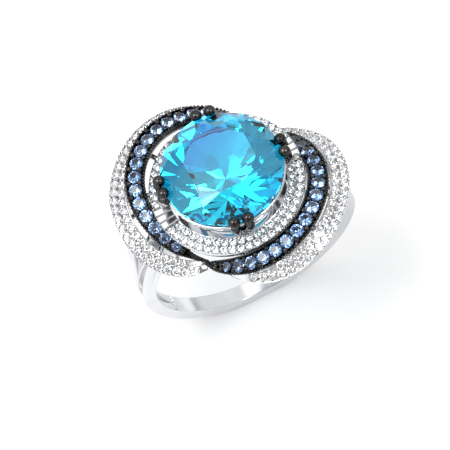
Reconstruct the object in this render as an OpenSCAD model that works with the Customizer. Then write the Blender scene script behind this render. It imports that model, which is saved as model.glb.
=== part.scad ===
// Cocktail ring: a round brilliant in four double claws over a paved halo, with two dark ribbons
// and two paved crescents that swirl around it, on a split-shoulder shank.
// +Z is up through the centre stone, +Y is along the finger, the origin is the finger hole's centre.

/* [Finger hole and shank] */
// Radius of the finger hole
bore_r = 8.6; // [8.4:0.1:8.8]
// Metal thickness at the bottom of the shank
shank_t = 1.02; // [0.9:0.02:1.2]
// Width of the shank at the bottom
shank_w = 1.45; // [1.3:0.05:1.8]
// Extra half width that the shank gains up to finger hole height
shoulder_flare = 0.26; // [0.1:0.02:0.35]
// Height where the shoulder slot begins
slot_low_z = -3.9; // [-4.5:0.1:-3]
// Height where the shoulder slot closes again
slot_high_z = 5.2; // [4.5:0.1:5.4]
// Widest opening of the shoulder slot
slot_w = 0.9; // [0.5:0.05:1]

/* [Centre stone] */
// Girdle radius of the round stone
stone_r = 5; // [4.9:0.05:5.05]
// Height of the girdle's middle
girdle_z = 13.58; // [13.5:0.02:13.7]
// Thickness of the girdle
girdle_t = 0.3; // [0.2:0.05:0.35]
// Height of the crown above the girdle
crown_h = 1.62; // [1.4:0.02:1.8]
// Depth of the pavilion below the girdle
pavilion_h = 4.25; // [4:0.05:4.3]
// Radius of the flat table's corners
table_r = 2.9; // [2.6:0.1:3.1]

/* [Claws] */
// Angle of the back claw, the others follow at quarter turns
claw_angle = 82; // [78:1:86]
// Angle between a claw's middle and each of its two tips
claw_split = 6.5; // [6.3:0.1:7]
// Radius of a claw's ball tip
claw_ball_r = 0.5; // [0.42:0.02:0.52]

/* [Halo] */
// Radius of the halo's middle line
halo_r = 5.6; // [5.55:0.05:5.65]
// Width of the halo
halo_w = 1.44; // [1.4:0.02:1.5]
// Height of the halo's top
halo_z = 11.15; // [11.1:0.05:11.3]
// Diameter of a halo stone
halo_stone_d = 0.62; // [0.56:0.02:0.62]

/* [Ribbons] */
// Diameter of a blue stone
blue_d = 1.1; // [1:0.02:1.12]
// Diameter of a white pave stone
white_d = 0.7; // [0.6:0.02:0.7]
// Thickness of the rim along a dark ribbon
dark_rim = 0.12; // [0.08:0.02:0.14]
// Thickness of the rim along a white ribbon
white_rim = 0.07; // [0.05:0.01:0.08]
// Radius of a setting grain on the dark ribbons
dark_grain_r = 0.12; // [0.08:0.01:0.13]
// Radius of a setting grain on the white pave
white_grain_r = 0.07; // [0.05:0.01:0.08]

/* [Hidden] */
$fn = 64;

silver = "silver";
rhodium = [0.2, 0.2, 0.22];
far = 40;

// Stations of the left ribbons: angle, radius and height of the top's middle, half width,
// and bank, which tips the outer edge down. The right ribbons are the same, half a turn on.
DARK = [
    [44, 6, 8.3, 0.15, 20], [58, 6.45, 9.1, 0.5, 18], [80, 7.05, 10.35, 0.8, 12],
    [105, 7.4, 11.4, 0.85, 8], [130, 7.5, 11.8, 0.85, 5], [155, 7.35, 11.5, 0.8, 5],
    [175, 6.95, 10.9, 0.74, 5], [192, 6.5, 10, 0.68, 5], [203, 6.25, 9.4, 0.55, 5],
    [212, 6.08, 8.92, 0.28, 5], [226, 5.85, 8.4, 0.12, 5]
];
WHITE = [
    [62, 6.7, 8.55, 0.15, 30], [75, 7.55, 9, 0.45, 30], [92, 8.4, 9.8, 0.75, 28],
    [115, 8.85, 10.4, 0.8, 25], [135, 8.98, 10.5, 0.8, 25], [158, 9, 10.25, 0.8, 25],
    [175, 8.75, 9.7, 0.8, 25], [190, 8.25, 8.8, 0.8, 25], [205, 7.4, 8.1, 0.8, 25],
    [218, 6.55, 7.9, 0.65, 22], [226, 6.1, 8, 0.3, 18]
];
// Columns of a station
RADIUS = 1;
HEIGHT = 2;
HALF = 3;
BANK = 4;
// Angle between two sections of a ribbon
ribbon_step = 3;
// Depth of a ribbon's body and of the channel in it, as shares of its half width
dark_depth = 0.98;
dark_sink = 0.6;
white_depth = 0.95;
white_sink = 0.44;
// Share of the half width that a ribbon keeps at its underside, and that a rim may take
under_share = 0.8;
rim_share = 0.35;
// Metal that a ribbon keeps however narrow it is
least_depth = 0.06;
// Half width under which a ribbon is too narrow for two rows or one row of stones
two_row_half = 0.74;
one_row_half = 0.42;
// Clear gap between neighbouring stones
stone_gap = 0.05;

// A stone's proportions, as shares of its radius
facet_table = 0.58;
facet_crown = 0.3;
facet_girdle = 0.05;
facet_pavilion = 0.8;

// The hoop's two round outlines: radius, and how far each middle sits above the finger hole's
shank_rise = 0.1;
shank_out_r = bore_r + shank_t + shank_rise;
shoulder_drop = 0.6;
shoulder_out_r = bore_r + 1.14;

// Saddle ring under the stone
base_out_r = 4.6;
base_in_r = 3.3;
base_t = 0.7;

// Shoulder arms: foot on the hoop, half sizes there, and how they change on the way up
arm_foot_x = 9.15;
arm_foot_y = 0.66;
arm_foot_z = 0.2;
arm_half_x = 0.42;
arm_half_y = 0.3;
arm_narrows = 0.15;
arm_widens = 0.25;
arm_lean = 0.1;
arm_pull = 3;
arm_inward = 0.25;
arm_end_y = 0.75;
arm_on_white = [0, -0.75];
arm_angles = [167, 191];

// Rods of the gallery: angles, radii at foot and top, and how far their feet stand in from the edge
strut_angles = [95, 125, 152];
strut_foot_r = 0.3;
strut_top_r = 0.26;
strut_inset = 0.25;
strut_lift = 0.1;
strut_across = -0.2;
post_angles = [37 : 90 : 307];
post_foot_r = 0.32;
post_top_r = 0.28;
post_inset = 0.4;
post_lean = 0.2;
post_bite = 0.1;

// Small rods between the ribbons: angles, radius, and where each end meets its ribbon
pin_angles = [100, 122, 145, 168];
pin_r = 0.2;
pin_on_white = [-0.55, -0.62];
pin_on_dark = [0.45, -0.72];
bar_angles = [183, 193, 203];
bar_r = 0.17;
// As shares of the half width, so that each bar stays under the channel floors
bar_on_dark = [0.6, -0.9];
bar_on_white = [-0.95, -0.7];

// Rails under the stone
rail_r = 3.75;
rail_z = 10.1;
rail_tube_r = 0.27;
seat_in_r = 4.15;
seat_w = 0.85;
seat_z = 12.68;
seat_h = 0.42;
seat_gap = 0.02;

// Claws: foot, fork and tips
claw_inset = 0.55;
claw_foot_r = 0.3;
claw_leg_r = 0.38;
claw_knot_r = claw_leg_r + 0.07;
claw_thin = 0.05;
fork_r = 4.3;
fork_z = 11.2;
ball_line_r = 5.1;
ball_z = girdle_z + 0.45;

// Centre stone: how far the star points stand out, and the pavilion mains' reach as a share
star_out = 0.1;
main_share = 0.24;

// Halo
halo_rim = 0.08;
halo_sink = 0.3;
halo_depth = 0.8;
halo_slope_w = 0.15;
halo_row_gap = 0.04;
halo_stone_sink = 0.02;
// Angles after each side claw where the halo stays plain
halo_plain = [2, 20];

// Stone rows: where they begin, and what is kept free at the edges
blue_start = 53;
blue_margin = 0.32;
dark_grain_start = 56;
grain_lift = 0.02;
white_grain_lift = 0.05;
white_start = 64;
white_row = (white_d + 0.03) / 2;
// A white ribbon is too narrow for two rows of stones near both ends
white_single = [[79, 92], [212, 226]];
halo_row = (halo_stone_d + halo_row_gap) / 2;

// ---------------------------------------------------------------- smooth curves through stations

function before(list, t, i = 0) = i >= len(list) - 2 || list[i + 1][0] > t ? i : before(list, t, i + 1);

function slope(list, i, col) =
    let (a = max(i - 1, 0), b = min(i + 1, len(list) - 1))
    (list[b][col] - list[a][col]) / (list[b][0] - list[a][0]);

function at(list, t, col) =
    let (
        i = before(list, t),
        span = list[i + 1][0] - list[i][0],
        s = (t - list[i][0]) / span,
        s2 = s * s,
        s3 = s2 * s
    )
    (2 * s3 - 3 * s2 + 1) * list[i][col] + (s3 - 2 * s2 + s) * span * slope(list, i, col)
    + (3 * s2 - 2 * s3) * list[i + 1][col] + (s3 - s2) * span * slope(list, i + 1, col);

function first(list) = list[0][0];
function last(list) = list[len(list) - 1][0];

function around(angle, r, z) = [r * cos(angle), r * sin(angle), z];

// A point on a ribbon: across its top, outwards, and up from its top
function on_ribbon(list, t, across, up) =
    let (bank = at(list, t, BANK))
    around(
        t,
        at(list, t, RADIUS) + across * cos(bank) + up * sin(bank),
        at(list, t, HEIGHT) - across * sin(bank) + up * cos(bank)
    );

// A point given across and up as shares of the ribbon's half width
function on_share(list, t, shares) =
    let (half = at(list, t, HALF))
    on_ribbon(list, t, shares[0] * half, shares[1] * half);

// Length of a ribbon's line for each degree, at a distance across it
function reach(list, t, across) =
    norm(on_ribbon(list, t + 0.5, across, 0) - on_ribbon(list, t - 0.5, across, 0));

// Angles spaced by an even distance along a ribbon
function steps(list, from, to, across, pitch) =
    [for (t = from; t <= to; t = t + pitch / reach(list, t, across)) t];

// Climb of a ribbon's line
function climb(list, t) =
    let (a = on_ribbon(list, t - 0.5, 0, 0), b = on_ribbon(list, t + 0.5, 0, 0), d = b - a)
    atan2(d[2], norm([d[0], d[1]]));

// ---------------------------------------------------------------- shared shapes

module rod(from, to, r_from, r_to) {
    d = to - from;
    translate(from)
        rotate([0, acos(d[2] / norm(d)), atan2(d[1], d[0])])
            cylinder(h = norm(d), r1 = r_from, r2 = r_to);
}

module finger_axis_cylinder(r, length, z = 0) {
    translate([0, 0, z])
        rotate([90, 0, 0])
            cylinder(h = length, r = r, center = true, $fn = 180);
}

// A round stone with its girdle's middle at z = 0
module small_stone(d) {
    r = d / 2;
    half = facet_girdle * r;
    rotate_extrude($fn = 32)
        polygon([
            [0, -half - facet_pavilion * r],
            [r, -half],
            [r, half],
            [facet_table * r, half + facet_crown * r],
            [0, half + facet_crown * r]
        ]);
}

// Puts a child on a ribbon, square to its top
module set_on(list, t, across = 0, up = 0) {
    p = on_ribbon(list, t, across, up);
    translate(p)
        rotate([0, 0, t])
            rotate([climb(list, t), at(list, t, BANK), 0])
                children();
}

// One section of a ribbon's body, a shallow channel between two rims
function section(list, t, rim, sink, depth) =
    let (
        half = at(list, t, HALF),
        wall = min(rim, half * rim_share),
        floor_n = -sink * half,
        base_n = -depth * half - least_depth,
        base_a = half * under_share
    )
    [
        on_ribbon(list, t, half, 0),
        on_ribbon(list, t, half - wall, 0),
        on_ribbon(list, t, half - wall, floor_n),
        on_ribbon(list, t, -half + wall, floor_n),
        on_ribbon(list, t, -half + wall, 0),
        on_ribbon(list, t, -half, 0),
        on_ribbon(list, t, -base_a, base_n),
        on_ribbon(list, t, base_a, base_n)
    ];

module ribbon(list, rim, sink, depth) {
    angles = [for (t = first(list); t <= last(list); t = t + ribbon_step) t];
    rings = [for (t = angles) section(list, t, rim, sink, depth)];
    skin(rings);
}

// Closed skin over rings of points, which run anticlockwise as seen from the first end
module skin(rings) {
    size = len(rings[0]);
    ends = len(rings) - 1;
    walls = [
        for (i = [0 : ends - 1], j = [0 : size - 1])
            let (k = (j + 1) % size, a = i * size, b = a + size)
            each [[a + j, a + k, b + k], [a + j, b + k, b + j]]
    ];
    start_cap = [for (j = [size - 1 : -1 : 0]) j];
    end_cap = [for (j = [0 : size - 1]) ends * size + j];
    polyhedron([for (ring = rings) each ring], concat(walls, [start_cap, end_cap]));
}

// ---------------------------------------------------------------- shank and gallery

function shank_half(z) = shank_w / 2 + shoulder_flare * pow(1 + z / (bore_r + shank_t), 2);

function slot_half(z) =
    let (s = (z - slot_low_z) / (slot_high_z - slot_low_z))
    slot_w / 2 * sin(180 * pow(s, 0.8));

// Cuts an outline drawn in Y and Z along the whole of X
module along_x() {
    rotate([90, 0, 90])
        linear_extrude(height = far, center = true)
            children();
}

module shank_outline() {
    zs = [for (z = [-10 : 0.5 : 8]) z];
    polygon(concat(
        [for (z = zs) [shank_half(z), z]],
        [for (i = [len(zs) - 1 : -1 : 0]) [-shank_half(zs[i]), zs[i]]]
    ));
}

module slot_outline() {
    n = 24;
    zs = [for (i = [0 : n]) slot_low_z + (slot_high_z - slot_low_z) * i / n];
    polygon(concat(
        [for (z = zs) [slot_half(z), z]],
        [for (i = [n - 1 : -1 : 1]) [-slot_half(zs[i]), zs[i]]]
    ));
}

// The hoop, a little thicker at finger hole height and thinner again above it
module hoop() {
    intersection() {
        finger_axis_cylinder(shank_out_r, far, shank_rise);
        finger_axis_cylinder(shoulder_out_r, far, -shoulder_drop);
    }
}

module shank() {
    color(silver)
        difference() {
            intersection() {
                hoop();
                along_x() shank_outline();
            }
            cylinder(h = far, r = base_out_r);
            finger_axis_cylinder(bore_r, far);
            along_x() slot_outline();
        }
}

function bezier(p, s) =
    let (q = 1 - s)
    q * q * q * p[0] + 3 * q * q * s * p[1] + 3 * q * s * s * p[2] + s * s * s * p[3];

// A flat arm from the hoop up to the underside of the left white ribbon at an angle
module shoulder_arm(t, lean) {
    end = on_share(WHITE, t, arm_on_white);
    path = [
        [-arm_foot_x, lean * arm_foot_y, arm_foot_z],
        [-arm_foot_x - arm_lean, lean * (arm_foot_y + arm_lean), arm_foot_z + arm_pull],
        [end[0] - arm_inward, arm_end_y * end[1], end[2] - arm_pull],
        end
    ];
    count = 16;
    rings = [
        for (i = [0 : count])
            let (
                s = i / count,
                p = bezier(path, s),
                half_x = arm_half_x * (1 - arm_narrows * s),
                half_y = arm_half_y * (1 + arm_widens * s)
            )
            [
                p + [half_x, half_y, 0], p + [half_x, -half_y, 0],
                p + [-half_x, -half_y, 0], p + [-half_x, half_y, 0]
            ]
    ];
    skin(rings);
}

// The split arms that carry the shoulders up to the white ribbons
module left_shoulders() {
    color(silver) {
        shoulder_arm(arm_angles[0], 1);
        shoulder_arm(arm_angles[1], -1);
    }
}
module right_shoulders() { rotate([0, 0, 180]) left_shoulders(); }

// Saddle ring that closes the finger hole under the stone
module gallery_base() {
    color(silver)
        intersection() {
            difference() {
                finger_axis_cylinder(bore_r + base_t, far);
                finger_axis_cylinder(bore_r, far);
            }
            difference() {
                cylinder(h = far, r = base_out_r);
                translate([0, 0, -1]) cylinder(h = far, r = base_in_r);
            }
        }
}

// Height of the saddle's middle under a point
function saddle_z(angle, r) = sqrt(pow(bore_r + base_t / 2, 2) - pow(r * cos(angle), 2));

module gallery_struts() {
    color(silver)
        for (turn = [0, 180], t = strut_angles) {
            foot_r = base_out_r - strut_inset;
            foot = around(t, foot_r, saddle_z(t, foot_r) + strut_lift);
            top = on_ribbon(WHITE, t, strut_across, -white_depth * at(WHITE, t, HALF));
            rotate([0, 0, turn])
                rod(foot, top, strut_foot_r, strut_top_r);
        }
}

module basket_rail() {
    color(silver)
        rotate_extrude($fn = 96)
            translate([rail_r, rail_z])
                circle(r = rail_tube_r, $fn = 32);
}

// Room that the centre stone takes, with a hair of clearance
module stone_room() {
    grow = seat_gap;
    rotate_extrude($fn = 96)
        polygon([
            [0, girdle_z - girdle_t / 2 - pavilion_h - grow],
            [stone_r + grow, girdle_z - girdle_t / 2 - grow],
            [stone_r + grow, girdle_z + girdle_t / 2 + grow],
            [table_r, girdle_z + girdle_t / 2 + crown_h + grow],
            [0, girdle_z + girdle_t / 2 + crown_h + grow]
        ]);
}

module seat_rail() {
    color(silver)
        difference() {
            rotate_extrude($fn = 96)
                translate([seat_in_r, seat_z])
                    square([seat_w, seat_h]);
            stone_room();
        }
}

// ---------------------------------------------------------------- claws and centre stone

module claw(turn) {
    angle = claw_angle + turn;
    foot_r = base_out_r - claw_inset;
    foot = around(angle, foot_r, saddle_z(angle, foot_r));
    fork = around(angle, fork_r, fork_z);
    color(rhodium)
        difference() {
            union() {
                rod(foot, fork, claw_foot_r, claw_leg_r);
                translate(fork) sphere(r = claw_knot_r, $fn = 32);
                for (split = [-claw_split, claw_split]) {
                    tip = around(angle + split, ball_line_r, ball_z);
                    rod(fork, tip, claw_leg_r - claw_thin, claw_leg_r);
                    translate(tip) sphere(r = claw_ball_r, $fn = 32);
                }
            }
            stone_room();
        }
}

module back_claw() { claw(0); }
module left_claw() { claw(90); }
module front_claw() { claw(180); }
module right_claw() { claw(270); }

// Round brilliant: eight mains, eight stars and sixteen halves above, mains and halves below
module centre_stone() {
    top = girdle_z + girdle_t / 2;
    low = girdle_z - girdle_t / 2;
    star_r = (table_r + stone_r) / 2 + star_out;
    main_r = main_share * stone_r;
    star_z = top + crown_h * (stone_r - star_r * cos(22.5)) / (stone_r - table_r);
    main_z = low - pavilion_h * (1 - main_r * cos(22.5) / stone_r);
    points = concat(
        [for (k = [0 : 7]) around(45 * k + 22.5, table_r, top + crown_h)],
        [for (k = [0 : 7]) around(45 * k, star_r, star_z)],
        [for (j = [0 : 15]) around(22.5 * j, stone_r, top)],
        [for (j = [0 : 15]) around(22.5 * j, stone_r, low)],
        [for (k = [0 : 7]) around(45 * k, main_r, main_z)],
        [[0, 0, low - pavilion_h]]
    );
    table = 0;
    star = 8;
    upper = 16;
    lower = 32;
    main = 48;
    culet = 56;
    faces = concat(
        [[for (k = [7 : -1 : 0]) table + k]],
        [for (k = [0 : 7]) let (n = (k + 1) % 8, j = 2 * k, m = (2 * k + 1) % 16, p = (2 * k + 2) % 16)
            each [
                [table + k, table + n, star + n],
                [table + k, star + n, upper + m],
                [table + k, upper + m, star + k],
                [star + k, upper + m, upper + j],
                [star + n, upper + p, upper + m],
                [upper + j, upper + m, lower + m, lower + j],
                [upper + m, upper + p, lower + p, lower + m],
                [main + k, lower + j, lower + m],
                [main + n, lower + m, lower + p],
                [culet, main + k, lower + m, main + n]
            ]]
    );
    color([0.25, 0.75, 0.95, 0.8]) polyhedron(points, faces);
}

// ---------------------------------------------------------------- halo

module halo_band() {
    inner = halo_r - halo_w / 2;
    outer = halo_r + halo_w / 2;
    color(silver)
        rotate_extrude($fn = 120)
            polygon([
                [inner + halo_slope_w, halo_z - halo_depth],
                [outer - halo_slope_w, halo_z - halo_depth],
                [outer, halo_z - halo_sink],
                [outer, halo_z],
                [outer - halo_rim, halo_z],
                [outer - halo_rim, halo_z - halo_sink],
                [inner + halo_rim, halo_z - halo_sink],
                [inner + halo_rim, halo_z],
                [inner, halo_z],
                [inner, halo_z - halo_sink]
            ]);
}

function is_plain(angle) =
    let (a = (angle - claw_angle - 90 + 720) % 180)
    a > halo_plain[0] && a < halo_plain[1];

module halo_row_of(row_r, extra_turn) {
    count = floor(360 * row_r * PI / 180 / (halo_stone_d + stone_gap));
    for (i = [0 : count - 1]) {
        angle = i * 360 / count + extra_turn;
        if (!is_plain(angle))
            rotate([0, 0, angle])
                translate([row_r, 0, 0])
                    children();
    }
}

module halo_stones() {
    color("white")
        for (side = [-1, 1])
            halo_row_of(halo_r + side * halo_row, 0)
                translate([0, 0, halo_z - halo_stone_sink]) small_stone(halo_stone_d);
}

// Grains stand in the gaps along the halo's middle
module halo_grains() {
    color(silver)
        halo_row_of(halo_r, 1)
            translate([0, 0, halo_z]) sphere(r = white_grain_r, $fn = 16);
}

module halo_posts() {
    color(silver)
        for (angle = post_angles) {
            foot_r = base_out_r - post_inset;
            rod(
                around(angle, foot_r, saddle_z(angle, foot_r)),
                around(angle, halo_r - post_lean, halo_z - halo_depth + post_bite),
                post_foot_r, post_top_r
            );
        }
}

// ---------------------------------------------------------------- ribbons

module dark_band() { color(rhodium) ribbon(DARK, dark_rim, dark_sink, dark_depth); }
module white_band() { color(silver) ribbon(WHITE, white_rim, white_sink, white_depth); }

module blue_stones() {
    color([0.45, 0.58, 0.8])
        for (t = steps(DARK, blue_start, last(DARK), 0, blue_d + stone_gap))
            if (at(DARK, t, HALF) > one_row_half)
                set_on(DARK, t, 0, 0)
                    small_stone(min(blue_d, 2 * at(DARK, t, HALF) - blue_margin));
}

module dark_grains() {
    color(rhodium)
        for (side = [-1, 1], t = steps(DARK, dark_grain_start, last(DARK), 0, (blue_d + stone_gap) / 3))
            if (at(DARK, t, HALF) > one_row_half)
                set_on(DARK, t, side * (at(DARK, t, HALF) - dark_rim / 2), grain_lift)
                    sphere(r = dark_grain_r, $fn = 16);
}

module white_stones() {
    color("white") {
        for (side = [-1, 1])
            for (t = steps(WHITE, white_start, last(WHITE), side * white_row, white_d + stone_gap))
                if (at(WHITE, t, HALF) > two_row_half)
                    set_on(WHITE, t, side * white_row, 0) small_stone(white_d);
        for (part = white_single, t = steps(WHITE, part[0], part[1], 0, white_d + stone_gap))
            if (at(WHITE, t, HALF) > one_row_half && at(WHITE, t, HALF) <= two_row_half)
                set_on(WHITE, t) small_stone(white_d);
    }
}

module white_grains() {
    color(silver)
        for (t = steps(WHITE, first(WHITE), last(WHITE), 0, white_d + stone_gap))
            if (at(WHITE, t, HALF) > two_row_half)
                set_on(WHITE, t, 0, white_grain_lift) sphere(r = white_grain_r, $fn = 16);
}

// Solder pins that join each dark ribbon to the white ribbon beside it
module ribbon_pins() {
    color(silver)
        for (t = pin_angles)
            rod(
                on_ribbon(WHITE, t, pin_on_white[0], pin_on_white[1]),
                on_ribbon(DARK, t, pin_on_dark[0], pin_on_dark[1]),
                pin_r, pin_r
            );
}

// Short bars that leave a row of windows under each dark ribbon's tail
module window_bars() {
    color(silver)
        for (t = bar_angles)
            rod(
                on_share(DARK, t, bar_on_dark),
                on_share(WHITE, t, bar_on_white),
                bar_r, bar_r
            );
}

module left_dark_band() { dark_band(); }
module right_dark_band() { rotate([0, 0, 180]) dark_band(); }
module left_blue_stones() { blue_stones(); }
module right_blue_stones() { rotate([0, 0, 180]) blue_stones(); }
module left_dark_grains() { dark_grains(); }
module right_dark_grains() { rotate([0, 0, 180]) dark_grains(); }
module left_white_band() { white_band(); }
module right_white_band() { rotate([0, 0, 180]) white_band(); }
module left_white_stones() { white_stones(); }
module right_white_stones() { rotate([0, 0, 180]) white_stones(); }
module left_white_grains() { white_grains(); }
module right_white_grains() { rotate([0, 0, 180]) white_grains(); }
module left_ribbon_pins() { ribbon_pins(); }
module right_ribbon_pins() { rotate([0, 0, 180]) ribbon_pins(); }
module left_window_bars() { window_bars(); }
module right_window_bars() { rotate([0, 0, 180]) window_bars(); }

shank();
left_shoulders();
right_shoulders();
gallery_base();
gallery_struts();
basket_rail();
seat_rail();
back_claw();
left_claw();
front_claw();
right_claw();
centre_stone();
halo_band();
halo_stones();
halo_grains();
halo_posts();
left_dark_band();
right_dark_band();
left_blue_stones();
right_blue_stones();
left_dark_grains();
right_dark_grains();
left_white_band();
right_white_band();
left_white_stones();
right_white_stones();
left_white_grains();
right_white_grains();
left_ribbon_pins();
right_ribbon_pins();
left_window_bars();
right_window_bars();
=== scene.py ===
"""Cocktail ring: the visual model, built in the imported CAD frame.

Lengths below are millimetres unless a name says otherwise; MM turns them into Blender's metres.
+Z runs up through the centre stone, +Y along the finger, and the origin is the finger hole's centre.
"""
import math

import bmesh
import bpy
from mathutils import Matrix, Vector


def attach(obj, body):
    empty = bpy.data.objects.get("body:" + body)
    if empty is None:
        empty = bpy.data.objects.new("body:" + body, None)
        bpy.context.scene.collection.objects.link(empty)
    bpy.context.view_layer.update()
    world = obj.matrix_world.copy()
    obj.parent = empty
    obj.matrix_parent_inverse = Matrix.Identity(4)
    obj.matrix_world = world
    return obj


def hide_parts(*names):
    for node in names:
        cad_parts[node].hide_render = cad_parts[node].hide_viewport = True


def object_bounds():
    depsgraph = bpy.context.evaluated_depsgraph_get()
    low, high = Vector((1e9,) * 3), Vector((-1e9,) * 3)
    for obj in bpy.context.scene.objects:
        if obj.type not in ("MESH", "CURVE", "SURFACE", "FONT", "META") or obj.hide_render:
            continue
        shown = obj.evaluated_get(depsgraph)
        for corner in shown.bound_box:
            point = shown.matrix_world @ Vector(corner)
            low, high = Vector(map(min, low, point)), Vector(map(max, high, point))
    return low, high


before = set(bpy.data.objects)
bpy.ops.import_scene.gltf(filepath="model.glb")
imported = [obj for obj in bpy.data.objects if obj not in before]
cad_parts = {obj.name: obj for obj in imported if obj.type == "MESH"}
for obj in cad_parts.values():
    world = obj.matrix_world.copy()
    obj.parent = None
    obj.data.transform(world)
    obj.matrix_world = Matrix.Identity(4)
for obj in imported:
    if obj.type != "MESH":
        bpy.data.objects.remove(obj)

CAD_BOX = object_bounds()
MM = 0.001

# ---------------------------------------------------------------- driving dimensions

BORE_R = 8.6
SHANK_T = 1.02
SHANK_W = 1.45
SHOULDER_FLARE = 0.26
SLOT_LOW, SLOT_HIGH, SLOT_W = -3.9, 5.2, 0.9
# Where each shoulder arm meets the white ribbon, and the side of the slot that it leaves from.
SHOULDER_ENDS = ((167, 1), (191, -1))
ARM_DROP = 0.75
BASE_OUT_R, BASE_IN_R, BASE_T = 4.6, 3.3, 0.7

STONE_R, GIRDLE_Z, GIRDLE_T = 5.0, 13.58, 0.3
CROWN_H, PAVILION_H, TABLE_R = 1.62, 4.25, 2.9

CLAW_ANGLES = {"back_claw": 82, "left_claw": 172, "front_claw": 262, "right_claw": 352}
CLAW_SPLIT = 6.5
BALL_R, BALL_LINE_R, BALL_Z = 0.5, 5.1, GIRDLE_Z + 0.45
CLAW_FOOT_INSET = 0.55
FORK_R, FORK_Z, KNEE_R = 4.36, 11.6, 4.15

HALO_R, HALO_W, HALO_Z, HALO_DEPTH = 5.6, 1.44, 11.15, 0.8
HALO_FLOOR, HALO_LIP = 0.3, 0.04
HALO_STONE_D, HALO_ROW_GAP = 0.62, 0.04
HALO_STONE_SINK, HALO_BEAD_LEAD = 0.02, 3.2
HALO_RIM_BEAD_R, HALO_MID_BEAD_R = 0.085, 0.09
# Degrees past a side claw between which the halo is plain, and the length of one plate.
HALO_PLAIN = (2, 20)
HALO_PLATE = 6
PLATE_GROOVE = 0.08

BLUE_D, WHITE_D, STONE_GAP = 1.1, 0.7, 0.05
WHITE_START = 64
# Stretches where a white ribbon has room for one row only.
WHITE_SINGLE = ((79, 92), (212, 226))
WHITE_ROW_GAP, WHITE_BEAD_R = 0.03, 0.1
BLUE_START, BLUE_MARGIN, BLUE_LIFT = 53, 0.32, 0.02
RIM_BEAD_START, RIM_BEAD_R, RIM_BEAD_HALF = 50, 0.13, 0.16
CORNER_BEAD_R, CORNER_BEAD_INSET, CORNER_BEAD_LIFT = 0.22, 0.36, 0.1
TIP_BEAD_PITCH, TIP_BEAD_SHARE = 0.4, 0.45
# Half widths above which a ribbon takes one row and two rows of stones.
ONE_ROW_HALF, TWO_ROW_HALF = 0.42, 0.74
# Turn from one stone to the next, in degrees of spin per degree round, so that their facets differ.
HALO_SPIN, BLUE_SPIN, WHITE_SPIN = 37, 31, 29
# A rim or bead is never wider than this share of the half width.
WALL_SHARE = 0.35
DEGREES_PER_RADIAN = 57.3

# Stations of the left ribbons: angle, radius, height, half width, bank (outer edge down).
DARK = [
    (44, 6, 8.3, 0.15, 20), (58, 6.45, 9.1, 0.5, 18), (80, 7.05, 10.35, 0.8, 12),
    (105, 7.4, 11.4, 0.85, 8), (130, 7.5, 11.8, 0.85, 5), (155, 7.35, 11.5, 0.8, 5),
    (175, 6.95, 10.9, 0.74, 5), (192, 6.5, 10, 0.68, 5), (203, 6.25, 9.4, 0.55, 5),
    (212, 6.08, 8.92, 0.28, 5), (226, 5.85, 8.4, 0.12, 5),
]
WHITE = [
    (62, 6.7, 8.55, 0.15, 30), (75, 7.55, 9, 0.45, 30), (92, 8.4, 9.8, 0.75, 28),
    (115, 8.85, 10.4, 0.8, 25), (135, 8.98, 10.5, 0.8, 25), (158, 9, 10.25, 0.8, 25),
    (175, 8.75, 9.7, 0.8, 25), (190, 8.25, 8.8, 0.8, 25), (205, 7.4, 8.1, 0.8, 25),
    (218, 6.55, 7.9, 0.65, 22), (226, 6.1, 8, 0.3, 18),
]
SIDES = {"left": 0, "right": 180}
# Section of a ribbon: rim width, channel depth and keel depth as shares of the half width,
# and the half width above which the channel is open.
DARK_SECTION = {"rim": 0.12, "sink": 0.6, "depth": 0.98, "open_half": ONE_ROW_HALF}
WHITE_SECTION = {"rim": 0.07, "sink": 0.44, "depth": 0.95, "open_half": 0.56}

STUDIO_GREY = 0.5
# Camera: turns round Z, up and about its own axis in degrees, then how far it stands from the
# origin, the width it sees there, and how far it sits aside (left) and above.
CAMERA_TURNS = (-9.225, 63.131, -18.218)
CAMERA_DISTANCE, CAMERA_VIEW = 250.0, 37.3413
CAMERA_OFFSET = (1.71106, 1.39258)


# ---------------------------------------------------------------- small maths

def polar(angle, radius, z):
    a = math.radians(angle)
    return Vector((radius * math.cos(a), radius * math.sin(a), z))


def smooth(x, low, high):
    """0 below low, 1 above high, and an even S between."""
    x = min(max((x - low) / (high - low), 0), 1)
    return x * x * (3 - 2 * x)


def bezier(points, s):
    q = 1 - s
    weights = (q**3, 3 * q * q * s, 3 * q * s * s, s**3)
    return sum((p * w for p, w in zip(points, weights)), Vector())


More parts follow.
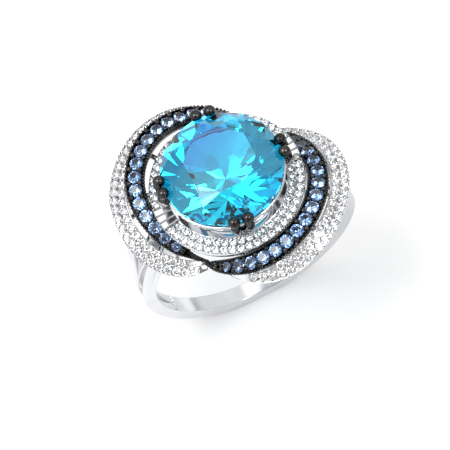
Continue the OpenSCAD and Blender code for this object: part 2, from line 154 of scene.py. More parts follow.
class Ribbon:
    """A banked ribbon through stations, turned about Z by whole degrees."""

    def __init__(self, stations, turn):
        self.stations = stations
        self.turn = turn
        self.first = stations[0][0]
        self.last = stations[-1][0]

    def slope(self, i, col):
        s = self.stations
        a, b = max(i - 1, 0), min(i + 1, len(s) - 1)
        return (s[b][col] - s[a][col]) / (s[b][0] - s[a][0])

    def at(self, t, col):
        s = self.stations
        i = max(j for j in range(len(s) - 1) if j == 0 or s[j][0] <= t)
        span = s[i + 1][0] - s[i][0]
        u = (t - s[i][0]) / span
        u2, u3 = u * u, u * u * u
        return (
            (2 * u3 - 3 * u2 + 1) * s[i][col] + (u3 - 2 * u2 + u) * span * self.slope(i, col)
            + (3 * u2 - 2 * u3) * s[i + 1][col] + (u3 - u2) * span * self.slope(i + 1, col)
        )

    def half(self, t):
        return self.at(t, 3)

    def point(self, t, across=0.0, up=0.0):
        bank = math.radians(self.at(t, 4))
        radius = self.at(t, 1) + across * math.cos(bank) + up * math.sin(bank)
        z = self.at(t, 2) - across * math.sin(bank) + up * math.cos(bank)
        return polar(t + self.turn, radius, z)

    def place(self, t, across=0.0, up=0.0):
        """Matrix that stands a piece on the ribbon: X outwards, Y along, Z square to the top."""
        along = (self.point(t + 0.5, across) - self.point(t - 0.5, across)).normalized()
        out = self.point(t, 1) - self.point(t, -1)
        normal = out.cross(along).normalized()
        out = along.cross(normal)
        m = Matrix((out, along, normal)).transposed().to_4x4()
        m.translation = self.point(t, across, up)
        return m

    def steps(self, start, end, pitch, across=0.0):
        t = start
        while t <= end:
            yield t
            t += pitch / (self.point(t + 0.5, across) - self.point(t - 0.5, across)).length


# ---------------------------------------------------------------- mesh building

class Shape:
    """Vertices in millimetres and faces, gathered part by part into one piece."""

    def __init__(self):
        self.verts = []
        self.faces = []
        self.marks = []

    def add(self, verts, faces, matrix=None):
        base = len(self.verts)
        self.verts += [matrix @ v for v in verts] if matrix else list(verts)
        self.faces += [tuple(base + i for i in f) for f in faces]
        self.marks += [0] * len(faces)

    def skin(self, rings, closed=False, caps=True, mark=0):
        """Quads between rings of equal length; closed joins the last ring to the first.

        mark is a material index, or a function of (ring, point) that gives one.
        """
        size, count = len(rings[0]), len(rings)
        verts = [v for ring in rings for v in ring]
        faces, marks = [], []
        for i in range(count if closed else count - 1):
            a, b = i * size, ((i + 1) % count) * size
            for j in range(size):
                k = (j + 1) % size
                faces.append((a + j, a + k, b + k, b + j))
                marks.append(mark(i, j) if callable(mark) else mark)
        if caps and not closed:
            faces.append(tuple(range(size - 1, -1, -1)))
            faces.append(tuple((count - 1) * size + j for j in range(size)))
            marks += [0, 0]
        self.add(verts, faces)
        self.marks[-len(marks):] = marks

    def finish(self, name, materials, node, slot, smooth_angle, bevel=0.0):
        """Makes the Blender object, in metres, that stands for a CAD node."""
        mesh = bpy.data.meshes.new(name)
        mesh.from_pydata([v * MM for v in self.verts], [], self.faces)
        obj = bpy.data.objects.new(name, mesh)
        bpy.context.scene.collection.objects.link(obj)
        for m in materials:
            mesh.materials.append(m)
        mesh.polygons.foreach_set("material_index", self.marks)
        tidy = bmesh.new()
        tidy.from_mesh(mesh)
        bmesh.ops.recalc_face_normals(tidy, faces=tidy.faces)
        if smooth_angle:
            for f in tidy.faces:
                f.smooth = True
            for e in tidy.edges:
                if len(e.link_faces) == 2 and e.calc_face_angle(0) > math.radians(smooth_angle):
                    e.smooth = False
        tidy.to_mesh(mesh)
        tidy.free()
        if bevel:
            mod = obj.modifiers.new("soft_edges", "BEVEL")
            mod.width = bevel * MM
            mod.segments = 3
            mod.limit_method = "ANGLE"
            mod.angle_limit = math.radians(40)
            mod.harden_normals = True
        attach(obj, "root")
        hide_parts(node)


def ball(rows=8, sides=12, squash=1.0):
    """Verts and faces of a unit bead, squashed along Z."""
    verts = [Vector((0, 0, squash))]
    for i in range(1, rows):
        a = math.pi * i / rows
        verts += [
            Vector((math.sin(a) * math.cos(b), math.sin(a) * math.sin(b), squash * math.cos(a)))
            for b in (2 * math.pi * j / sides for j in range(sides))
        ]
    verts.append(Vector((0, 0, -squash)))
    last = len(verts) - 1
    faces = [(0, 1 + j, 1 + (j + 1) % sides) for j in range(sides)]
    for i in range(rows - 2):
        a, b = 1 + i * sides, 1 + (i + 1) * sides
        faces += [(a + j, b + j, b + (j + 1) % sides, a + (j + 1) % sides) for j in range(sides)]
    a = 1 + (rows - 2) * sides
    faces += [(a + (j + 1) % sides, a + j, last) for j in range(sides)]
    return verts, faces


def brilliant(radius, table, crown, girdle, pavilion, mains=8, pavilion_main=0.24):
    """A round brilliant with its girdle's middle at z = 0, as flat facets."""
    step = 360 / mains
    top, low = girdle / 2, -girdle / 2
    half_cos = math.cos(math.radians(step / 2))
    star_r = (table + radius) / 2 + 0.02 * radius
    star_z = top + crown * (radius - star_r * half_cos) / (radius - table)
    main_r = pavilion_main * radius
    main_z = low - pavilion * (1 - main_r * half_cos / radius)
    n = mains
    verts = [polar(step * (k + 0.5), table, top + crown) for k in range(n)]
    verts += [polar(step * k, star_r, star_z) for k in range(n)]
    verts += [polar(step / 2 * j, radius, top) for j in range(2 * n)]
    verts += [polar(step / 2 * j, radius, low) for j in range(2 * n)]
    verts += [polar(step * k, main_r, main_z) for k in range(n)]
    verts.append(Vector((0, 0, low - pavilion)))
    star, upper, lower, main, culet = n, 2 * n, 4 * n, 6 * n, 7 * n
    faces = [tuple(range(n))]
    for k in range(n):
        nxt = (k + 1) % n
        j, m, p = 2 * k, 2 * k + 1, (2 * k + 2) % (2 * n)
        faces += [
            (k, star + nxt, nxt),
            (k, star + k, upper + m, star + nxt),
            (star + k, upper + j, upper + m),
            (star + nxt, upper + m, upper + p),
            (upper + j, lower + j, lower + m, upper + m),
            (upper + m, lower + m, lower + p, upper + p),
            (main + k, lower + m, lower + j),
            (main + nxt, lower + p, lower + m),
            (culet, main + nxt, lower + m, main + k),
        ]
    return verts, faces


def small_brilliant(diameter):
    r = diameter / 2
    return brilliant(r, 0.58 * r, 0.3 * r, 0.1 * r, 0.8 * r)


def tube(path, radii, sides=14):
    """Rings round a path, each kept square to it, for Shape.skin."""
    rings = []
    side = None
    for i, p in enumerate(path):
        ahead = path[min(i + 1, len(path) - 1)] - path[max(i - 1, 0)]
        ahead.normalize()
        side = side or ahead.orthogonal()
        side = (side - side.project(ahead)).normalized()
        other = ahead.cross(side)
        r = radii[i]
        rings.append([
            p + (side * math.cos(a) + other * math.sin(a)) * r
            for a in (2 * math.pi * j / sides for j in range(sides))
        ])
    return rings


# ---------------------------------------------------------------- materials

def material(name, **values):
    """A Principled material; values are set on the shader's own sockets."""
    mat = bpy.data.materials.new(name)
    mat.use_nodes = True
    shader = mat.node_tree.nodes["Principled BSDF"]
    for key, value in values.items():
        shader.inputs[key.replace("_", " ").title().replace("Ior", "IOR")].default_value = value
    return mat


def noise(mat, scale, detail=4.0, stretch=(1, 1, 1)):
    """A noise texture in object space; scale is in waves per metre."""
    nodes, links = mat.node_tree.nodes, mat.node_tree.links
    where = nodes.new("ShaderNodeTexCoord")
    mapping = nodes.new("ShaderNodeMapping")
    mapping.inputs["Scale"].default_value = stretch
    texture = nodes.new("ShaderNodeTexNoise")
    texture.inputs["Scale"].default_value = scale
    texture.inputs["Detail"].default_value = detail
    links.new(where.outputs["Object"], mapping.inputs["Vector"])
    links.new(mapping.outputs["Vector"], texture.inputs["Vector"])
    return texture.outputs["Fac"]


def ramp(mat, source, socket, low, high, start=0.35, end=0.65):
    """Drives a socket of the shader between two values or colours with a ramp."""
    nodes, links = mat.node_tree.nodes, mat.node_tree.links
    node = nodes.new("ShaderNodeValToRGB")
    as_colour = [v if isinstance(v, tuple) else (v, v, v) for v in (low, high)]
    for element, place, colour in zip(node.color_ramp.elements, (start, end), as_colour):
        element.position = place
        element.color = (*colour, 1)
    links.new(source, node.inputs["Fac"])
    links.new(node.outputs["Color"], nodes["Principled BSDF"].inputs[socket])


def bump(mat, source, strength, distance):
    nodes, links = mat.node_tree.nodes, mat.node_tree.links
    node = nodes.new("ShaderNodeBump")
    node.inputs["Strength"].default_value = strength
    node.inputs["Distance"].default_value = distance * MM
    links.new(source, node.inputs["Height"])
    links.new(node.outputs["Normal"], nodes["Principled BSDF"].inputs["Normal"])


def make_silver():
    """High polish with a faint haze and the finest wiping marks; its base colour is kept darker than the
    pavé copy of the same silver, painted shade that greys its broad faces.
    """
    mat = material("polished_silver", metallic=1.0)
    # Base colour with random tone, darker than the pavé silver's: painted shade.
    ramp(mat, noise(mat, 300), "Base Color", (0.67, 0.675, 0.695), (0.75, 0.755, 0.77))
    ramp(mat, noise(mat, 900, 6), "Roughness", 0.1, 0.18)
    bump(mat, noise(mat, 1500, 2, (1, 1, 6)), 0.06, 0.01)
    return mat


def make_satin_silver():
    """As-cast silver inside the narrow slots, where a polishing wheel can't reach."""
    mat = material("satin_silver", metallic=0.45)
    ramp(mat, noise(mat, 700), "Base Color", (0.7, 0.705, 0.72), (0.82, 0.825, 0.835))
    ramp(mat, noise(mat, 2200, 6), "Roughness", 0.34, 0.5)
    bump(mat, noise(mat, 3000, 3), 0.2, 0.02)
    return mat


def make_pave_silver():
    """The cut and beaded silver under the stones, rougher than the polish, with a lighter base colour than
    the polished copy of the same silver: painted light that makes the pavé read white.
    """
    mat = material("pave_silver", metallic=1.0)
    # Base colour with random tone, lighter than the polished silver's: painted light.
    ramp(mat, noise(mat, 1600), "Base Color", (0.74, 0.745, 0.76), (0.9, 0.905, 0.915))
    ramp(mat, noise(mat, 2500, 6), "Roughness", 0.16, 0.34)
    bump(mat, noise(mat, 4000, 3), 0.4, 0.03)
    return mat


def make_rhodium():
    """Black rhodium plate: dark metal that still mirrors the lights."""
    mat = material("black_rhodium", metallic=1.0)
    ramp(mat, noise(mat, 700), "Base Color", (0.03, 0.03, 0.032), (0.075, 0.073, 0.07))
    ramp(mat, noise(mat, 1800, 5), "Roughness", 0.05, 0.13)
    bump(mat, noise(mat, 3000, 3), 0.06, 0.02)
    return mat


def make_gem(name, light, deep, ior, scale):
    """Clear gem whose tint shifts a little from place to place."""
    mat = material(name, transmission_weight=1.0, ior=ior, roughness=0.0)
    ramp(mat, noise(mat, scale, 2), "Base Color", deep, light)
    return mat


def make_topaz():
    """The large blue stone: its own blue with a random cloud, plus painted light, running from deep azure
    on one side to bright cyan towards the front right, where light coming back out of it is painted in.
    """
    mat = material("blue_gem", transmission_weight=1.0, ior=1.62, roughness=0.0)
    nodes, links = mat.node_tree.nodes, mat.node_tree.links
    where = nodes.new("ShaderNodeTexCoord")
    # How far a point lies towards the front right; the ramp below turns this into painted light, brighter
    # cyan there.
    across = nodes.new("ShaderNodeVectorMath")
    across.operation = "DOT_PRODUCT"
    across.inputs[1].default_value = Vector((0.43, -0.9, 0)) / (2 * STONE_R * MM)
    cloud_and_painted_light = nodes.new("ShaderNodeMath")
    cloud_and_painted_light.operation = "MULTIPLY_ADD"
    cloud_and_painted_light.inputs[1].default_value = 0.3
    total = nodes.new("ShaderNodeMath")
    total.inputs[1].default_value = 0.35
    links.new(where.outputs["Object"], across.inputs[0])
    links.new(noise(mat, 260, 1), cloud_and_painted_light.inputs[0])
    links.new(across.outputs["Value"], cloud_and_painted_light.inputs[2])
    links.new(cloud_and_painted_light.outputs["Value"], total.inputs[0])
    # Deep azure to bright cyan: the stone's own blue, with painted light on its lit side.
    ramp(mat, total.outputs["Value"], "Base Color", (0.003, 0.3, 0.78), (0.012, 0.8, 1.0), 0.2, 0.8)
    return mat


SILVER = make_silver()
SATIN = make_satin_silver()
PAVE = make_pave_silver()
RHODIUM = make_rhodium()
BLUE = make_topaz()
STEEL_BLUE = make_gem("steel_blue_gem", (0.27, 0.4, 0.64), (0.1, 0.19, 0.38), 1.76, 900)
CLEAR = make_gem("white_gem", (1.0, 1.0, 1.0), (0.93, 0.95, 0.98), 2.15, 1200)


# ---------------------------------------------------------------- shank and gallery

def shank_half(z):
    return SHANK_W / 2 + SHOULDER_FLARE * (1 + z / (BORE_R + SHANK_T)) ** 2


def slot_half(z):
    s = (z - SLOT_LOW) / (SLOT_HIGH - SLOT_LOW)
    return SLOT_W / 2 * math.sin(math.pi * s**0.8) if 0 < s < 1 else 0.0


def hoop_outer(angle):
    """Outer radius of the hoop, the nearer of its two round outlines."""
    s, c = math.sin(math.radians(angle)), math.cos(math.radians(angle))
    wide, rise = BORE_R + SHANK_T + 0.1, 0.1
    tight, drop = BORE_R + 1.14, 0.6
    a = rise * s + math.sqrt(wide**2 - (rise * c) ** 2)
    b = -drop * s + math.sqrt(tight**2 - (drop * c) ** 2)
    return min(a, b)


def make_shank():
    """The hoop as a grid of strips on each side of the shoulder slots, given thickness."""
    reach = math.degrees(math.acos(BASE_OUT_R / BORE_R))
    count = 148
    angles = [-180 - reach + (180 + 2 * reach) * i / count for i in range(count + 1)]
    mesh = bmesh.new()

    def vertex(angle, radius, y):
        a = math.radians(angle)
        return mesh.verts.new(Vector((radius * math.cos(a), y, radius * math.sin(a))) * MM)

    rows = []
    for angle in angles:
        z = BORE_R * math.sin(math.radians(angle))
        half, slot = shank_half(z), slot_half(z)
        row = {}
        for skin, radius in (("in", BORE_R), ("out", hoop_outer(angle))):
            middle = [vertex(angle, radius, -slot), vertex(angle, radius, slot)] if slot > 0.02 else None
            centre = None if middle else vertex(angle, radius, 0)
            row[skin] = [
                vertex(angle, radius, -half),
                middle[0] if middle else centre,
                middle[1] if middle else centre,
                vertex(angle, radius, half),
            ]
        rows.append(row)

    def quad(*corners, mark=0):
        kept = []
        for v in corners:
            if v not in kept:
                kept.append(v)
        if len(kept) > 2:
            mesh.faces.new(kept).material_index = mark

    for a, b in zip(rows, rows[1:]):
        for left, right in ((0, 1), (2, 3)):
            for skin in ("in", "out"):
                quad(a[skin][left], a[skin][right], b[skin][right], b[skin][left])
        for edge in (0, 3):
            quad(a["in"][edge], b["in"][edge], b["out"][edge], a["out"][edge])
        for edge in (1, 2):
            if a["in"][1] is not a["in"][2] or b["in"][1] is not b["in"][2]:
                quad(a["in"][edge], b["in"][edge], b["out"][edge], a["out"][edge], mark=1)
    for end in (rows[0], rows[-1]):
        for left, right in ((0, 1), (2, 3)):
            quad(end["in"][left], end["in"][right], end["out"][right], end["out"][left])
    mesh.verts.index_update()
    shape = Shape()
    shape.add([v.co / MM for v in mesh.verts], [[v.index for v in f.verts] for f in mesh.faces])
    shape.marks = [f.material_index for f in mesh.faces]
    mesh.free()
    shape.finish("shank_hoop", [SILVER, SATIN], "shank", "polished_silver", 30, bevel=0.09)


def make_shoulders(side, turn):
    """Two arms that leave the hoop beside the slot and rise to the white ribbon."""
    ribbon = Ribbon(WHITE, 0)
    shape = Shape()
    for t, lean in SHOULDER_ENDS:
        end = ribbon.point(t, 0, -ARM_DROP * ribbon.half(t))
        path = [
            Vector((-9.15, lean * 0.66, 0.2)),
            Vector((-9.25, lean * 0.76, 3.2)),
            Vector((end.x - 0.25, 0.75 * end.y, end.z - 3)),
            end,
        ]
        rings = []
        for i in range(25):
            s = i / 24
            p = bezier(path, s)
            wide_x, wide_y = 0.42 * (1 - 0.15 * s), 0.3 * (1 + 0.25 * s)
            rings.append([
                p + Vector((
                    wide_x * math.copysign(abs(math.cos(a)) ** 0.55, math.cos(a)),
                    wide_y * math.copysign(abs(math.sin(a)) ** 0.55, math.sin(a)),
                    0,
                ))
                for a in (2 * math.pi * j / 20 for j in range(20))
            ])
        shape.skin(rings)
    spin = Matrix.Rotation(math.radians(turn), 3, "Z")
    shape.verts = [spin @ v for v in shape.verts]
    shape.finish(f"{side}_shoulder_arms", [SILVER], f"{side}_shoulders", "polished_silver", 50)


def make_gallery_base():
    """Saddle ring that closes the finger hole under the stone."""
    shape = Shape()
    rings = []
    for k in range(96):
        angle = 360 * k / 96
        ring = []
        for radius, lift in ((BASE_IN_R, 0), (BASE_OUT_R, 0), (BASE_OUT_R, BASE_T), (BASE_IN_R, BASE_T)):
            x = radius * math.cos(math.radians(angle))
            ring.append(polar(angle, radius, math.sqrt((BORE_R + lift) ** 2 - x * x)))
        rings.append(ring)
    shape.skin(rings, closed=True)
    shape.finish("gallery_saddle", [SILVER], "gallery_base", "polished_silver", 30, bevel=0.08)


def make_rail(name, node, profile):
    """A silver ring turned from a profile of (radius, z) points."""
    count = 128
    shape = Shape()
    shape.skin([[polar(360 * k / count, r, z) for r, z in profile] for k in range(count)], closed=True)
    shape.finish(name, [SILVER], node, "polished_silver", 35)


def rounded(low, high, corner, steps=4):
    """A rounded rectangle of (radius, z) points between two corners."""
    points = []
    for cx, cz, start in (
        (high[0] - corner, high[1] - corner, 0), (low[0] + corner, high[1] - corner, 90),
        (low[0] + corner, low[1] + corner, 180), (high[0] - corner, low[1] + corner, 270),
    ):
        for i in range(steps + 1):
            a = math.radians(start + 90 * i / steps)
            points.append((cx + corner * math.cos(a), cz + corner * math.sin(a)))
    return points


# ---------------------------------------------------------------- claws and centre stone

def saddle_z(angle, radius):
    return math.sqrt((BORE_R + BASE_T / 2) ** 2 - (radius * math.cos(math.radians(angle))) ** 2)


def make_claw(node, angle):
    """A stem that forks into two leaf-shaped prongs, each ending in a ball over the girdle."""
    shape = Shape()
    foot_r = BASE_OUT_R - CLAW_FOOT_INSET
    foot = polar(angle, foot_r, saddle_z(angle, foot_r))
    fork = polar(angle, FORK_R, FORK_Z)
    knee = polar(angle, KNEE_R, (foot.z + fork.z) / 2)
    stem = [bezier([foot, knee, knee, fork], i / 12) for i in range(13)]
    widths = [0.3 + 0.08 * smooth(i / 12, 0.3, 1) - 0.2 * smooth(i / 12, 0.8, 1) for i in range(13)]
    shape.skin(tube(stem, widths, 16))
    for split in (-CLAW_SPLIT, CLAW_SPLIT):
        tip = polar(angle + split, BALL_LINE_R, BALL_Z)
        path = [
            polar(angle, 4.3, 10.6),
            polar(angle + split * 0.7, 4.6, 11.7),
            polar(angle + split, 5.6, 12.95),
            tip,
        ]
        count = 20
        prong = [bezier(path, i / count) for i in range(count + 1)]
        leaf = [
            0.08 + 0.34 * smooth(i / count, 0, 0.5) - 0.1 * smooth(i / count, 0.7, 1)
            for i in range(count + 1)
        ]
        shape.skin(tube(prong, leaf, 20))
        verts, faces = ball(16, 28, 0.94)
        shape.add(verts, faces, Matrix.Translation(tip) @ Matrix.Scale(BALL_R, 4))
    shape.finish(f"{node}_prongs", [RHODIUM], node, "black_rhodium", 60)


def make_centre_stone():
    verts, faces = brilliant(STONE_R, TABLE_R, CROWN_H, GIRDLE_T, PAVILION_H)
    shape = Shape()
    shape.add(verts, faces, Matrix.Translation((0, 0, GIRDLE_Z)))
    shape.finish("centre_brilliant", [BLUE], "centre_stone", "blue_gem", 0)


# ---------------------------------------------------------------- halo

def is_plain(angle):
    after = (angle - CLAW_ANGLES["left_claw"]) % 180
    return HALO_PLAIN[0] < after < HALO_PLAIN[1]


def make_halo():
    """Ring with a shallow stone channel, filled and polished flat beside the two side claws."""
    inner, outer, lip = HALO_R - HALO_W / 2, HALO_R + HALO_W / 2, HALO_LIP
    shape = Shape()
    rings, channel = [], []
    for k in range(360):
        after = (k - CLAW_ANGLES["left_claw"]) % 180
        start, end = HALO_PLAIN
        plain = smooth(after, start - 1, start) * (1 - smooth(after, end, end + 1))
        groove = PLATE_GROOVE if plain > 0.5 and (after - start) % HALO_PLATE == 0 else 0
        floor = HALO_FLOOR * (1 - plain) + groove
        # Steps in from the edge and down from the top, from the underside over the lip to the floor.
        half = [
            (0.15, HALO_DEPTH), (0.03, 0.45), (0, 0.3), (0, lip), (lip / 2, lip / 4), (lip, 0),
            (1.5 * lip, lip / 4), (2 * lip, max(lip, floor - lip / 2)), (2 * lip, floor),
        ]
        at_outer = [(outer - step, HALO_Z - down) for step, down in half]
        at_inner = [(inner + step, HALO_Z - down) for step, down in half]
        profile = at_inner[:1] + at_outer + at_inner[:0:-1]
        rings.append([polar(k, r, z) for r, z in profile])
        channel.append(plain < 0.5)
    shape.skin(rings, closed=True, mark=lambda i, j: int(channel[i] and 8 <= j <= 10))
    shape.finish("halo_ring", [SILVER, PAVE], "halo_band", "polished_silver", 35)


def halo_places(radius, diameter, shift=0.0):
    count = math.floor(2 * math.pi * radius / (diameter + STONE_GAP))
    for i in range(count):
        angle = 360 * i / count + shift
        if not is_plain(angle):
            yield angle


def make_halo_stones():
    stones, grains = Shape(), Shape()
    stone = small_brilliant(HALO_STONE_D)
    grain = ball(6, 10, 0.8)
    row = (HALO_STONE_D + HALO_ROW_GAP) / 2
    for side in (-1, 1):
        radius = HALO_R + side * row
        for angle in halo_places(radius, HALO_STONE_D):
            turn = Matrix.Rotation(math.radians(angle), 4, "Z")
            spin = Matrix.Rotation(math.radians(HALO_SPIN * angle), 4, "Z")
            at = turn @ Matrix.Translation((radius, 0, HALO_Z - HALO_STONE_SINK))
            stones.add(*stone, at @ spin)
            rim = turn @ Matrix.Rotation(math.radians(HALO_BEAD_LEAD), 4, "Z")
            edge = Matrix.Translation((HALO_R + side * (HALO_W / 2 - 0.09), 0, HALO_Z))
            grains.add(*grain, rim @ edge @ Matrix.Scale(HALO_RIM_BEAD_R, 4))
    for angle in halo_places(HALO_R, HALO_STONE_D, 1):
        turn = Matrix.Rotation(math.radians(angle), 4, "Z")
        at = turn @ Matrix.Translation((HALO_R, 0, HALO_Z + 0.02))
        grains.add(*grain, at @ Matrix.Scale(HALO_MID_BEAD_R, 4))
    stones.finish("halo_brilliants", [CLEAR], "halo_stones", "white_gem", 0)
    grains.finish("halo_beads", [PAVE], "halo_grains", "polished_silver", 60)


# ---------------------------------------------------------------- ribbons

def ribbon_profile(half, rim, sink, depth):
    """(across, up) points round a ribbon's section: round rims, a sunk floor and a soft keel."""
    wall = min(rim, half * WALL_SHARE)
    r = wall / 2
    base = -depth * half - 0.06
    keel = 0.8 * half
    points = []
    for side, angles in ((1, (0, 45, 90, 135, 180)), (-1, (0, 45, 90, 135, 180))):
        rim_at = side * (half - r)
        arc = [(rim_at + r * math.cos(math.radians(a)), -r + r * math.sin(math.radians(a))) for a in angles]
        if side == 1:
            points += arc + [(half - wall, -sink)]
        else:
            points += [(-half + wall, -sink)] + arc
    points += [
        (-0.94 * half, 0.45 * base), (-keel, 0.9 * base), (-keel * 0.85, base),
        (keel * 0.85, base), (keel, 0.9 * base), (0.94 * half, 0.45 * base),
    ]
    return points


def halfway(ribbon, t, pitch):
    """The angle midway between a stone at t and the next."""
    return t + 0.5 * pitch / ribbon.at(t, 1) * DEGREES_PER_RADIAN


def make_band(name, node, ribbon, section, mats, slot):
    """A ribbon's body; its channel closes to a plain polished lip where it is narrow."""
    shape = Shape()
    rings, channel = [], []
    rim, open_half = section["rim"], section["open_half"]
    count = round((ribbon.last - ribbon.first) / 1.5)
    for i in range(count + 1):
        t = ribbon.first + (ribbon.last - ribbon.first) * i / count
        half = ribbon.half(t)
        opened = smooth(half, open_half - 0.12, open_half)
        floor = max(section["sink"] * half * opened, min(rim, half * WALL_SHARE) / 2)
        outline = ribbon_profile(half, rim, floor, section["depth"])
        rings.append([ribbon.point(t, across, up) for across, up in outline])
        channel.append(opened > 0.5)
    shape.skin(rings, mark=lambda i, j: int(channel[i] and 4 <= j <= 6))
    shape.finish(name, mats, node, slot, 40)


def make_dark_ribbon(side, turn):
    ribbon = Ribbon(DARK, turn)
    mats = [RHODIUM, RHODIUM]
    make_band(f"{side}_dark_ribbon", f"{side}_dark_band", ribbon, DARK_SECTION, mats, "black_rhodium")
    stones, grains = Shape(), Shape()
    grain = ball(8, 12, 0.9)
    pitch = BLUE_D + STONE_GAP

    def bead(t, across, up, radius):
        grains.add(*grain, ribbon.place(t, across, up) @ Matrix.Scale(radius, 4))

    for t in ribbon.steps(BLUE_START, ribbon.last, pitch):
        if ribbon.half(t) > ONE_ROW_HALF:
            size = min(BLUE_D, 2 * ribbon.half(t) - BLUE_MARGIN)
            spin = Matrix.Rotation(math.radians(BLUE_SPIN * t), 4, "Z")
            stones.add(*small_brilliant(size), ribbon.place(t, 0, BLUE_LIFT) @ spin)
    for edge in (-1, 1):
        for t in ribbon.steps(RIM_BEAD_START, ribbon.last, pitch / 4):
            half = ribbon.half(t)
            if half > RIM_BEAD_HALF:
                bead(t, edge * (half - 0.06), 0.02, min(RIM_BEAD_R, half * WALL_SHARE))
        for t in ribbon.steps(BLUE_START, ribbon.last, pitch):
            between = halfway(ribbon, t, pitch)
            if between < ribbon.last and ribbon.half(between) > ONE_ROW_HALF:
                across = edge * (ribbon.half(between) - CORNER_BEAD_INSET)
                bead(between, across, CORNER_BEAD_LIFT, CORNER_BEAD_R)
    for t in ribbon.steps(ribbon.first + 3, BLUE_START + 1, TIP_BEAD_PITCH):
        bead(t, 0, 0.02, TIP_BEAD_SHARE * ribbon.half(t))
    stones.finish(f"{side}_blue_brilliants", [STEEL_BLUE], f"{side}_blue_stones", "steel_blue_gem", 0)
    grains.finish(f"{side}_dark_beads", [RHODIUM], f"{side}_dark_grains", "black_rhodium", 60)


def make_white_ribbon(side, turn):
    ribbon = Ribbon(WHITE, turn)
    mats = [SILVER, PAVE]
    make_band(f"{side}_white_ribbon", f"{side}_white_band", ribbon, WHITE_SECTION, mats, "polished_silver")
    stones, grains = Shape(), Shape()
    stone = small_brilliant(WHITE_D)
    grain = ball(6, 10, 0.8)
    row = (WHITE_D + WHITE_ROW_GAP) / 2
    pitch = WHITE_D + STONE_GAP

    def bead(t, across, up):
        grains.add(*grain, ribbon.place(t, across, up) @ Matrix.Scale(WHITE_BEAD_R, 4))

    for edge in (-1, 1):
        for t in ribbon.steps(WHITE_START, ribbon.last, pitch, edge * row):
            if ribbon.half(t) > TWO_ROW_HALF:
                spin = Matrix.Rotation(math.radians(WHITE_SPIN * t), 4, "Z")
                stones.add(*stone, ribbon.place(t, edge * row) @ spin)
                between = halfway(ribbon, t, pitch)
                for across in (ribbon.half(between) - 0.12, 0.3):
                    bead(between, edge * across, 0.03)
    for first, last in WHITE_SINGLE:
        for t in ribbon.steps(first, last, pitch):
            if ONE_ROW_HALF < ribbon.half(t) <= TWO_ROW_HALF:
                stones.add(*stone, ribbon.place(t))
                between = halfway(ribbon, t, pitch)
                for edge in (-1, 1):
                    bead(between, edge * (ribbon.half(between) - 0.14), 0.02)
    for t in ribbon.steps(ribbon.first, ribbon.last, pitch):
        if ribbon.half(t) > TWO_ROW_HALF:
            bead(t, 0, 0.05)
    stones.finish(f"{side}_white_brilliants", [CLEAR], f"{side}_white_stones", "white_gem", 0)
    grains.finish(f"{side}_white_beads", [PAVE], f"{side}_white_grains", "polished_silver", 60)


# ---------------------------------------------------------------- stage

def make_camera():
    """A long lens that looks down from high in front, slightly from the left, and is rolled."""
    azimuth, elevation, roll = (math.radians(a) for a in CAMERA_TURNS)
    flat = math.cos(elevation)
    back = Vector((math.sin(azimuth) * flat, -math.cos(azimuth) * flat, math.sin(elevation)))
    level = Vector((math.cos(azimuth), math.sin(azimuth), 0))
    upright = back.cross(level)
    right = level * math.cos(roll) + upright * math.sin(roll)
    up = upright * math.cos(roll) - level * math.sin(roll)
    aside, above = CAMERA_OFFSET
    place = back * CAMERA_DISTANCE - right * aside + up * above
    data = bpy.data.cameras.new("photo_camera")
    data.sensor_width = 36
    data.lens = data.sensor_width * CAMERA_DISTANCE / CAMERA_VIEW
    data.clip_start = 0.01
    data.clip_end = 10
    camera = bpy.data.objects.new("photo_camera", data)
    camera.matrix_world = Matrix.Translation(place * MM) @ Matrix((right, up, back)).transposed().to_4x4()
    bpy.context.scene.collection.objects.link(camera)
    bpy.context.scene.camera = camera


def make_light(name, place, target, size, watts):
    """A round soft lamp of a size in millimetres, aimed at a target."""
    data = bpy.data.lights.new(name, "AREA")
    data.shape = "DISK"
    data.size = size * MM
    data.energy = watts
    light = bpy.data.objects.new(name, data)
    aim = (Vector(target) - Vector(place)).normalized()
    turn = aim.to_track_quat("-Z", "Y").to_matrix().to_4x4()
    light.matrix_world = Matrix.Translation(Vector(place) * MM) @ turn
    bpy.context.scene.collection.objects.link(light)


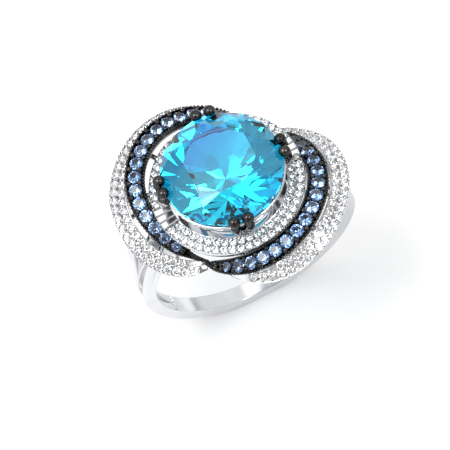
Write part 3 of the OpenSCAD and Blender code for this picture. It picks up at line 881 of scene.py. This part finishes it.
def make_world():
    """A pale studio with soft white panels and grey gaps, which give the metal its contrast."""
    world = bpy.data.worlds.new("studio")
    world.use_nodes = True
    nodes, links = world.node_tree.nodes, world.node_tree.links
    where = nodes.new("ShaderNodeTexCoord")

    def panel(direction, edge, full, strength, before):
        """Adds a round soft panel seen in a direction to what is there before."""
        facing = nodes.new("ShaderNodeVectorMath")
        facing.operation = "DOT_PRODUCT"
        facing.inputs[1].default_value = Vector(direction).normalized()
        links.new(where.outputs["Generated"], facing.inputs[0])
        soft = nodes.new("ShaderNodeMapRange")
        soft.interpolation_type = "SMOOTHSTEP"
        soft.inputs["From Min"].default_value = math.cos(math.radians(edge))
        soft.inputs["From Max"].default_value = math.cos(math.radians(full))
        soft.inputs["To Max"].default_value = strength
        links.new(facing.outputs["Value"], soft.inputs["Value"])
        add = nodes.new("ShaderNodeMath")
        add.operation = "ADD"
        links.new(soft.outputs["Result"], add.inputs[0])
        if before:
            links.new(before, add.inputs[1])
        else:
            add.inputs[1].default_value = STUDIO_GREY
        return add.outputs["Value"]

    value = None
    # Direction, angles from it at which the panel ends and is full, and strength.
    for direction, edge, full, strength in (
        ((-0.9, 0.5, 0.8), 40, 24, 0.7),
        ((0.9, 0.2, 0.7), 40, 24, 0.5),
        ((-1.0, -0.5, 0.25), 34, 20, 0.5),
        ((0.5, -1.0, 0.2), 30, 18, 0.4),
        ((0.2, 1.0, 0.2), 40, 22, 0.4),
        ((0.12, 0.5, 0.87), 18, 6, 1.5),
    ):
        value = panel(direction, edge, full, strength, value)
    links.new(value, nodes["Background"].inputs["Color"])
    nodes["Background"].inputs["Strength"].default_value = 1.0
    bpy.context.scene.world = world


def make_floor():
    low = CAD_BOX[0][2] / MM - 0.02
    size = 900
    mesh = bpy.data.meshes.new("floor")
    corners = ((-1, -1), (1, -1), (1, 1), (-1, 1))
    mesh.from_pydata([Vector((x * size, y * size, low)) * MM for x, y in corners], [], [(0, 1, 2, 3)])
    floor = bpy.data.objects.new("floor", mesh)
    mat = material("floor_white", roughness=0.8)
    ramp(mat, noise(mat, 20), "Base Color", (0.88, 0.88, 0.88), (0.90, 0.90, 0.90))
    mesh.materials.append(mat)
    bpy.context.scene.collection.objects.link(floor)


# ---------------------------------------------------------------- the ring

make_camera()
make_world()
make_floor()
make_light("softbox", (-84, 4, 210), (0, 0, -8), 140, 0.24)
make_light("spark", (90, -90, 210), (0, 0, 5), 64, 0.17)

make_shank()
make_gallery_base()
make_rail("seat_ring", "seat_rail", rounded((4.62, 12.7), (4.99, 13.08), 0.12))
make_rail("basket_ring", "basket_rail", rounded((3.48, 9.83), (4.02, 10.37), 0.26))
make_halo()
make_halo_stones()
make_centre_stone()
for claw_node, claw_angle in CLAW_ANGLES.items():
    make_claw(claw_node, claw_angle)
for side_name, side_turn in SIDES.items():
    make_shoulders(side_name, side_turn)
    make_dark_ribbon(side_name, side_turn)
    make_white_ribbon(side_name, side_turn)

for node_name in ("gallery_struts", "halo_posts", "left_ribbon_pins", "right_ribbon_pins",
                  "left_window_bars", "right_window_bars"):
    cad_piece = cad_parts[node_name]
    cad_piece.data.materials.clear()
    cad_piece.data.materials.append(SILVER)

bpy.context.scene.view_settings.view_transform = "Standard"
